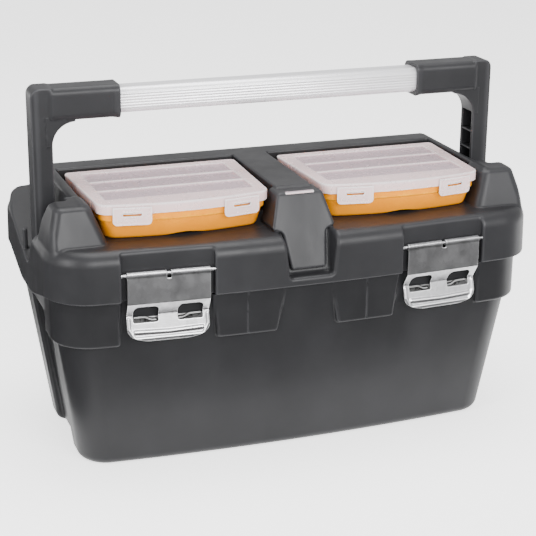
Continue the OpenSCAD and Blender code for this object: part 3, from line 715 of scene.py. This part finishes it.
def strip(p):
    return block(p, (-14, -86.3, 245.2), (14, -83.3, 252.6), 0.8)


# ---------------------------------------------------------------- tray

TRAY_DEPTH = 50
TRAY_FOOT = box_mm("tray")[0][2]
TRAY_TOP = TRAY_FOOT + TRAY_DEPTH
GRIP_Z = 183
TRAY_FLOOR = 2.5


def tray_plan(p, inset):
    """The tray seen from above. Its walls lean in by 3 mm towards the foot."""
    z = p[:, 2]
    taper = np.clip((TRAY_TOP - z) / TRAY_DEPTH, 0, 1) * 3
    x, y = np.abs(p[:, 0]), p[:, 1]
    return both(both(x - 197.5 + inset + taper, y - 82 + inset + taper, 12), -86 + inset + taper - y, 12)


def tray(p):
    z = p[:, 2]
    shape = both(tray_plan(p, 0), TRAY_FOOT - z, 4)
    flange = both(tray_plan(p, -5), slab(z, TRAY_TOP - 3, TRAY_TOP), 1.2)
    shape = join(shape, flange, 1.5)
    shape = both(shape, z - TRAY_TOP, 0.8)
    hollow = both(tray_plan(p, TRAY_FLOOR), TRAY_FOOT + TRAY_FLOOR - z, 3)
    return cut(shape, hollow, 0.8)


def tray_dividers(p):
    x, y, z = np.abs(p[:, 0]), p[:, 1], p[:, 2]
    plates = join(slab(y, -3, -1), slab(x, 97.75, 99.75), 1.0)
    scoop = both(np.hypot(x - 150, z - TRAY_TOP - 8) - 26, slab(y, -6, 2), 0.5)
    inset = TRAY_FLOOR + 0.2
    plates = all_of(0.7, plates, tray_plan(p, inset), slab(z, TRAY_FOOT + inset, TRAY_TOP - 2))
    return cut(plates, scoop, 0.7)


def tray_grip(p):
    x, y, z = np.abs(p[:, 0]), p[:, 1], p[:, 2]
    bar = both(np.hypot(y + 2, z - GRIP_Z) - 5, x - 62, 2.5)
    stems = all_of(1.5, slab(x, 52, 62), slab(y, -5, 1), slab(z, TRAY_TOP - 2, GRIP_Z))
    return join(bar, stems, 2.0)


# ---------------------------------------------------------------- materials


def nodes_of(name):
    """A new material, its tree, its shader and the place on the object that its textures start from."""
    mat = bpy.data.materials.new(name)
    mat.use_nodes = True
    tree = mat.node_tree
    shader = tree.nodes["Principled BSDF"]
    where = tree.nodes.new("ShaderNodeTexCoord").outputs["Object"]
    return mat, tree, shader, where


def noise(tree, where, scale, detail=3.0, stretch=None, roughness=0.55):
    if stretch:
        turn = tree.nodes.new("ShaderNodeMapping")
        turn.inputs["Scale"].default_value = stretch
        tree.links.new(where, turn.inputs["Vector"])
        where = turn.outputs["Vector"]
    made = tree.nodes.new("ShaderNodeTexNoise")
    made.inputs["Scale"].default_value = scale
    made.inputs["Detail"].default_value = detail
    made.inputs["Roughness"].default_value = roughness
    tree.links.new(where, made.inputs["Vector"])
    return made.outputs["Fac"]


def ramp(tree, value, stops):
    """Turns a value from 0 to 1 into a colour or a number by way of the stops."""
    made = tree.nodes.new("ShaderNodeValToRGB")
    elements = made.color_ramp.elements
    while len(elements) < len(stops):
        elements.new(0.5)
    for element, (at, colour) in zip(elements, stops):
        element.position = at
        element.color = (*colour, 1) if isinstance(colour, tuple) else (colour, colour, colour, 1)
    tree.links.new(value, made.inputs["Fac"])
    return made.outputs["Color"]


def blend(tree, share, a, b, kind="MIX"):
    """Mixes two colours, either of which may be a socket."""
    made = tree.nodes.new("ShaderNodeMix")
    made.data_type = "RGBA"
    made.blend_type = kind
    for value, socket in ((share, made.inputs["Factor"]), (a, made.inputs["A"]), (b, made.inputs["B"])):
        if isinstance(value, bpy.types.NodeSocket):
            tree.links.new(value, socket)
        else:
            socket.default_value = value if isinstance(value, float) else (*value, 1)
    return made.outputs["Result"]


def bump(tree, shader, layers):
    """Stacks bumps, each given as its height, strength and depth in metres."""
    last = None
    for height, strength, depth in layers:
        made = tree.nodes.new("ShaderNodeBump")
        made.inputs["Strength"].default_value = strength
        made.inputs["Distance"].default_value = depth
        tree.links.new(height, made.inputs["Height"])
        if last:
            tree.links.new(last, made.inputs["Normal"])
        last = made.outputs["Normal"]
    tree.links.new(last, shader.inputs["Normal"])


def marked(tree, name):
    """What finish_normals() wrote on the mesh under this name: edge or sunk."""
    made = tree.nodes.new("ShaderNodeAttribute")
    made.attribute_name = name
    return made.outputs["Fac"]


def set_all(shader, **values):
    for name, value in values.items():
        shader.inputs[name.replace("_", " ")].default_value = value


def black_plastic(name, tone, shine):
    """Black plastic with paler edges, and painted shade that darkens its inside corners. tone is its middle
    colour.
    """
    mat, tree, shader, where = nodes_of(name)
    patches = noise(tree, where, 14, 4)
    low, high = 0.8 * tone, 1.2 * tone
    base = ramp(tree, patches, [(0.3, (low, low, 1.1 * low)), (0.7, (high, high, 1.1 * high))])
    worn = ramp(tree, marked(tree, "edge"), [(0.55, 0.0), (0.95, 0.55)])
    base = blend(tree, worn, base, (0.050, 0.050, 0.054))
    # Painted shade: inside corners and creases are darkened towards black.
    painted_corner_shade = ramp(tree, marked(tree, "edge"), [(0.1, 0.5), (0.42, 0.0)])
    base = blend(tree, painted_corner_shade, base, (0.004, 0.004, 0.0044))
    tree.links.new(base, shader.inputs["Base Color"])
    smear = noise(tree, where, 38, 5, (1.0, 1.0, 0.25))
    tree.links.new(ramp(tree, smear, [(0.3, 0.36), (0.7, 0.47)]), shader.inputs["Roughness"])
    set_all(shader, Specular_IOR_Level=shine, IOR=1.49)
    grain, waves = noise(tree, where, 2100, 2), noise(tree, where, 60, 2)
    bump(tree, shader, [(grain, 0.22, 0.00006), (waves, 0.15, 0.0006)])
    return mat


def amber_plastic():
    mat, tree, shader, where = nodes_of("amber_plastic")
    tone = ramp(tree, noise(tree, where, 22, 3), [(0.3, (0.76, 0.245, 0.0)), (0.7, (0.84, 0.285, 0.0))])
    worn = ramp(tree, marked(tree, "edge"), [(0.55, 0.0), (0.95, 0.5)])
    tree.links.new(blend(tree, worn, tone, (1.0, 0.46, 0.02)), shader.inputs["Base Color"])
    tree.links.new(ramp(tree, noise(tree, where, 50, 4), [(0.3, 0.22), (0.7, 0.32)]), shader.inputs["Roughness"])
    set_all(shader, Subsurface_Weight=0.1, Subsurface_Scale=0.004, IOR=1.49, Specular_IOR_Level=0.1)
    shader.inputs["Subsurface Radius"].default_value = (1.0, 0.45, 0.1)
    bump(tree, shader, [(noise(tree, where, 1500, 2), 0.1, 0.00004)])
    return mat


def clear_plastic():
    mat, tree, shader, where = nodes_of("clear_plastic")
    cloud_and_panel_shade = ramp(tree, noise(tree, where, 26, 4), [(0.3, (0.94, 0.72, 0.73)), (0.7, (0.98, 0.78, 0.79))])
    # Painted shade: the sunk panels are darkened to a greyish lavender.
    cloud_and_panel_shade = blend(tree, marked(tree, "sunk"), cloud_and_panel_shade, (0.56, 0.43, 0.475))
    # Painted highlight: outer edges are lightened to near white, except in the sunk panels.
    painted_edge_highlight = ramp(tree, marked(tree, "edge"), [(0.56, 0.0), (0.8, 1.0)])
    painted_edge_highlight = blend(tree, marked(tree, "sunk"), painted_edge_highlight, (0.0, 0.0, 0.0))
    tree.links.new(blend(tree, painted_edge_highlight, cloud_and_panel_shade, (0.95, 0.91, 0.91)), shader.inputs["Base Color"])
    tree.links.new(ramp(tree, noise(tree, where, 60, 4), [(0.3, 0.2), (0.7, 0.32)]), shader.inputs["Roughness"])
    set_all(shader, Transmission_Weight=0.38, IOR=1.4, Specular_IOR_Level=0.6)
    bump(tree, shader, [(noise(tree, where, 400, 2), 0.06, 0.00004)])
    return mat


def zinc():
    mat, tree, shader, where = nodes_of("zinc_steel")
    cells = tree.nodes.new("ShaderNodeTexVoronoi")
    cells.inputs["Scale"].default_value = 320
    turn = tree.nodes.new("ShaderNodeMapping")
    turn.inputs["Scale"].default_value = (1.0, 0.6, 0.8)
    tree.links.new(where, turn.inputs["Vector"])
    tree.links.new(turn.outputs["Vector"], cells.inputs["Vector"])
    spangle = ramp(tree, cells.outputs["Color"], [(0.2, (0.44, 0.44, 0.455)), (0.8, (0.62, 0.62, 0.64))])
    dull = blend(tree, noise(tree, where, 130, 6), spangle, (0.53, 0.525, 0.535))
    worn = ramp(tree, marked(tree, "edge"), [(0.6, 0.0), (0.95, 0.7)])
    tree.links.new(blend(tree, worn, dull, (0.85, 0.85, 0.86)), shader.inputs["Base Color"])
    rough = ramp(tree, noise(tree, where, 90, 3), [(0.3, 0.28), (0.7, 0.35)])
    tree.links.new(rough, shader.inputs["Roughness"])
    shader.inputs["Metallic"].default_value = 1.0
    bump(tree, shader, [(noise(tree, where, 300, 2), 0.06, 0.00003)])
    return mat


def steel_in_painted_shade():
    mat, tree, shader, where = nodes_of("steel_in_painted_shade")
    # Painted shade: the catches' steel is darkened nearly to black so that the latch windows look dark inside.
    tone = ramp(tree, noise(tree, where, 160, 5), [(0.3, (0.008, 0.008, 0.008)), (0.7, (0.02, 0.019, 0.018))])
    worn = ramp(tree, marked(tree, "edge"), [(0.6, 0.0), (0.95, 0.8)])
    tree.links.new(blend(tree, worn, tone, (0.5, 0.5, 0.5)), shader.inputs["Base Color"])
    tree.links.new(ramp(tree, noise(tree, where, 210, 5), [(0.3, 0.35), (0.7, 0.5)]), shader.inputs["Roughness"])
    shader.inputs["Metallic"].default_value = 0.7
    return mat


def aluminium():
    mat, tree, shader, where = nodes_of("aluminium_tube")
    brushed = noise(tree, where, 900, 3, (0.012, 1.0, 1.0))
    tone = ramp(tree, brushed, [(0.3, (0.86, 0.855, 0.88)), (0.7, (0.95, 0.945, 0.97))])
    tree.links.new(tone, shader.inputs["Base Color"])
    tree.links.new(ramp(tree, brushed, [(0.3, 0.30), (0.7, 0.42)]), shader.inputs["Roughness"])
    shader.inputs["Metallic"].default_value = 0.55
    bump(tree, shader, [(brushed, 0.05, 0.00002)])
    return mat


def floor_material():
    mat, tree, shader, where = nodes_of("floor")
    pale = ramp(tree, noise(tree, where, 3, 2), [(0.3, (0.93, 0.93, 0.93)), (0.7, (0.95, 0.95, 0.95))])
    tree.links.new(pale, shader.inputs["Base Color"])
    set_all(shader, Roughness=0.7, Specular_IOR_Level=0.2, Emission_Strength=1.7)
    shader.inputs["Emission Color"].default_value = (1, 1, 1, 1)
    return mat


def flag_material():
    """Black card, as photographers stand in front of glossy things."""
    mat, tree, shader, where = nodes_of("flag")
    tree.links.new(ramp(tree, noise(tree, where, 5, 2), [(0.3, 0.004), (0.7, 0.006)]), shader.inputs["Base Color"])
    set_all(shader, Roughness=1.0, Specular_IOR_Level=0.0)
    return mat


# One black plastic in two copies, as painted light: the bucket and tray's copy is painted darker and the lid and
# arms' copy lighter, for how light falls on each.
BLACK_PAINTED_DARKER, BLACK_PAINTED_LIGHTER = black_plastic("black_plastic", 0.0125, 0.25), black_plastic("black_plastic_painted_lighter", 0.0165, 0.30)
AMBER, CLEAR = amber_plastic(), clear_plastic()
ZINC, STEEL_IN_PAINTED_SHADE, ALUMINIUM = zinc(), steel_in_painted_shade(), aluminium()


# ---------------------------------------------------------------- pieces


def pair(name, field, node, step, keep, material, body):
    """A piece on the right, and its mirror image on the left. {} in a name is the side."""
    name_right, node_right, body_right = (text.format("right") for text in (name, node, body))
    right = moulded(name_right, field, node_right, step, keep, material, body_right)
    mirrored(name.format("left"), right, body.format("left"), node.format("left"))


# Name, field, CAD node, grid step in millimetres, share of the triangles kept, material, body
moulded("bucket", bucket, "base", 1.4, 0.22, BLACK_PAINTED_DARKER, "base")
moulded("lid_shell", lid, "lid", 1.35, 0.22, BLACK_PAINTED_LIGHTER, "lid")
moulded("tray_shell", tray, "tray", 1.5, 0.15, BLACK_PAINTED_DARKER, "tray")
moulded("tray_partitions", tray_dividers, "tray_dividers", 1.1, 0.15, BLACK_PAINTED_DARKER, "tray")
moulded("tray_handle", tray_grip, "tray_grip", 0.9, 0.4, BLACK_PAINTED_DARKER, "tray")
moulded("slot_strip", strip, "retainer_strip", 0.6, 0.4, CLEAR, "lid")
pair("handle_arm_{}_moulding", arm, "handle_arm_{}", 0.9, 0.3, BLACK_PAINTED_LIGHTER, "handle")
pair("latch_{}_plate", latch, "latch_{}", 0.4, 0.7, ZINC, "latch_{}")
pair("catch_{}_plates", catch, "catch_{}", 0.5, 0.3, STEEL_IN_PAINTED_SHADE, "base")
pair("bin_{}", organiser_bin, "organiser_bin_{}", 0.8, 0.25, AMBER, "organiser_{}")
pair("bin_partitions_{}", dividers, "organiser_dividers_{}", 0.7, 0.2, AMBER, "organiser_{}")
pair("cover_{}", cover, "organiser_lid_{}", 0.75, 0.3, CLEAR, "organiser_lid_{}")
for where, side in (("outer", 1), ("inner", -1)):
    node = "clip_{}_" + where
    pair(node + "_plate", clip(side), node, 0.42, 0.4, CLEAR, node)


OUTLINE_POINTS = 240
FLUTE_DEPTH, FLUTE_PITCH, FLUTED_HALF = 0.38, 2.6, 9.1


def tube_outline():
    """The tube's outline as y and z, with flutes in its front and back. Each point is walked in to the surface."""
    outline = []
    for a in 2 * math.pi * np.arange(OUTLINE_POINTS) / OUTLINE_POINTS:
        reach = 40.0
        for _ in range(30):
            y, z = math.cos(a) * reach, math.sin(a) * reach + TUBE_Z
            reach -= float(tube_gap(y, z, 0.0))
        up = z - TUBE_Z
        if abs(y) > 12.5 and abs(up) < FLUTED_HALF:
            y -= math.copysign(FLUTE_DEPTH * (0.5 + 0.5 * math.cos(2 * math.pi * up / FLUTE_PITCH)), y)
        outline.append((y, z))
    return outline


def tube_piece():
    """The handle's tube: its outline drawn out along x, with bevelled ends and a hollow."""
    outline, count = tube_outline(), OUTLINE_POINTS
    half, bevel = box_mm("handle_tube")[1][0], 0.6
    sections = [(-half, 0.97, 0.97), (-half + bevel, 1, 1), (half - bevel, 1, 1), (half, 0.97, 0.97)]
    hollow = [(-half, 0.84, 0.83), (half, 0.84, 0.83)]
    points = [
        (x, y * across, TUBE_Z + (z - TUBE_Z) * up) for x, across, up in sections + hollow for y, z in outline
    ]
    faces = []
    for row in range(3):
        for k in range(count):
            a, b = row * count + k, row * count + (k + 1) % count
            faces.append((a, a + count, b + count, b))
    inner, last = 4 * count, 3 * count
    for k in range(count):
        n = (k + 1) % count
        faces.append((k, n, inner + n, inner + k))
        faces.append((inner + k, inner + n, inner + count + n, inner + count + k))
        faces.append((last + n, last + k, inner + count + k, inner + count + n))
    mesh = bpy.data.meshes.new("tube")
    mesh.from_pydata([Vector(q) * MM for q in points], [], faces)
    mesh.update()
    mesh.shade_smooth()
    mesh.set_sharp_from_angle(angle=math.radians(50))
    thing = bpy.data.objects.new("tube", mesh)
    bpy.context.scene.collection.objects.link(thing)
    mesh.materials.append(ALUMINIUM)
    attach(thing, "handle")
    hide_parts("handle_tube")


tube_piece()

# The pins and wires stay as they are in the CAD
for node in ("hinge_pin", "pivot_pin", "latch_wire"):
    for side in ("left", "right"):
        pin = bpy.data.objects[node + "_" + side]
        pin.data.materials.clear()
        pin.data.materials.append(ZINC)
        pin.data.shade_smooth()
        pin.data.set_sharp_from_angle(angle=math.radians(40))


# ---------------------------------------------------------------- floor, light and camera



def sheet(name, xs, ys, z, material):
    """A flat rectangle that belongs to the studio and not to the object."""
    mesh = bpy.data.meshes.new(name)
    (x0, x1), (y0, y1) = xs, ys
    mesh.from_pydata([(x0, y0, z), (x1, y0, z), (x1, y1, z), (x0, y1, z)], [], [(0, 1, 2, 3)])
    mesh.materials.append(material)
    thing = bpy.data.objects.new(name, mesh)
    bpy.context.scene.collection.objects.link(thing)
    thing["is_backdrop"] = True
    return thing


sheet("floor", (-6.0, 6.0), (-6.0, 6.0), 0, floor_material())

# Black cards on the floor in front and on the left, which only reflections see
FLAG = flag_material()
CARDS = (("flag_front", (-1.8, 1.8), (-2.2, -0.17), 0.003), ("flag_left", (-2.2, -0.26), (-2.2, 1.5), 0.004))
for name, xs, ys, z in CARDS:
    card = sheet(name, xs, ys, z, FLAG)
    card.visible_camera = card.visible_shadow = card.visible_diffuse = False

world = bpy.data.worlds.new("studio")
bpy.context.scene.world = world
world.use_nodes = True
background = world.node_tree.nodes["Background"]
background.inputs["Color"].default_value = (1.0, 1.0, 1.0, 1)
background.inputs["Strength"].default_value = 0.8


def lamp(name, at, aim, size, power):
    """A softbox: a glowing rectangle that faces a point."""
    light = bpy.data.lights.new(name, "AREA")
    light.shape = "RECTANGLE"
    light.size, light.size_y = size
    light.energy = power
    thing = bpy.data.objects.new(name, light)
    thing.location = at
    thing.rotation_euler = (Vector(aim) - Vector(at)).to_track_quat("-Z", "Y").to_euler()
    bpy.context.scene.collection.objects.link(thing)


middle = (0, 0, 0.18)
lamp("top", (0.1, 0.1, 1.8), middle, (1.4, 1.0), 30)
lamp("left", (-1.7, -0.7, 0.9), middle, (0.8, 1.2), 26)
lamp("front", (0.3, -2.1, 1.15), middle, (1.9, 0.75), 66)

camera = bpy.data.objects.new("camera", bpy.data.cameras.new("camera"))
bpy.context.scene.collection.objects.link(camera)
bpy.context.scene.camera = camera
camera.data.sensor_width = 36
camera.data.lens = 101.6
yaw, pitch, roll = math.radians(20.16), math.radians(18.97), math.radians(0.52)
forward = Vector((math.sin(yaw) * math.cos(pitch), math.cos(yaw) * math.cos(pitch), -math.sin(pitch)))
right = Vector((math.cos(yaw), -math.sin(yaw), 0))
up = right.cross(forward)
tilt = Matrix.Rotation(-roll, 3, forward)
right, up = tilt @ right, tilt @ up
turned = Matrix((right, up, -forward)).transposed().to_4x4()
camera.matrix_world = Matrix.Translation((-0.4885, -1.3332, 0.6378)) @ turned

[[list(corner) for corner in size] for size in (cad_bounds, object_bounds())]
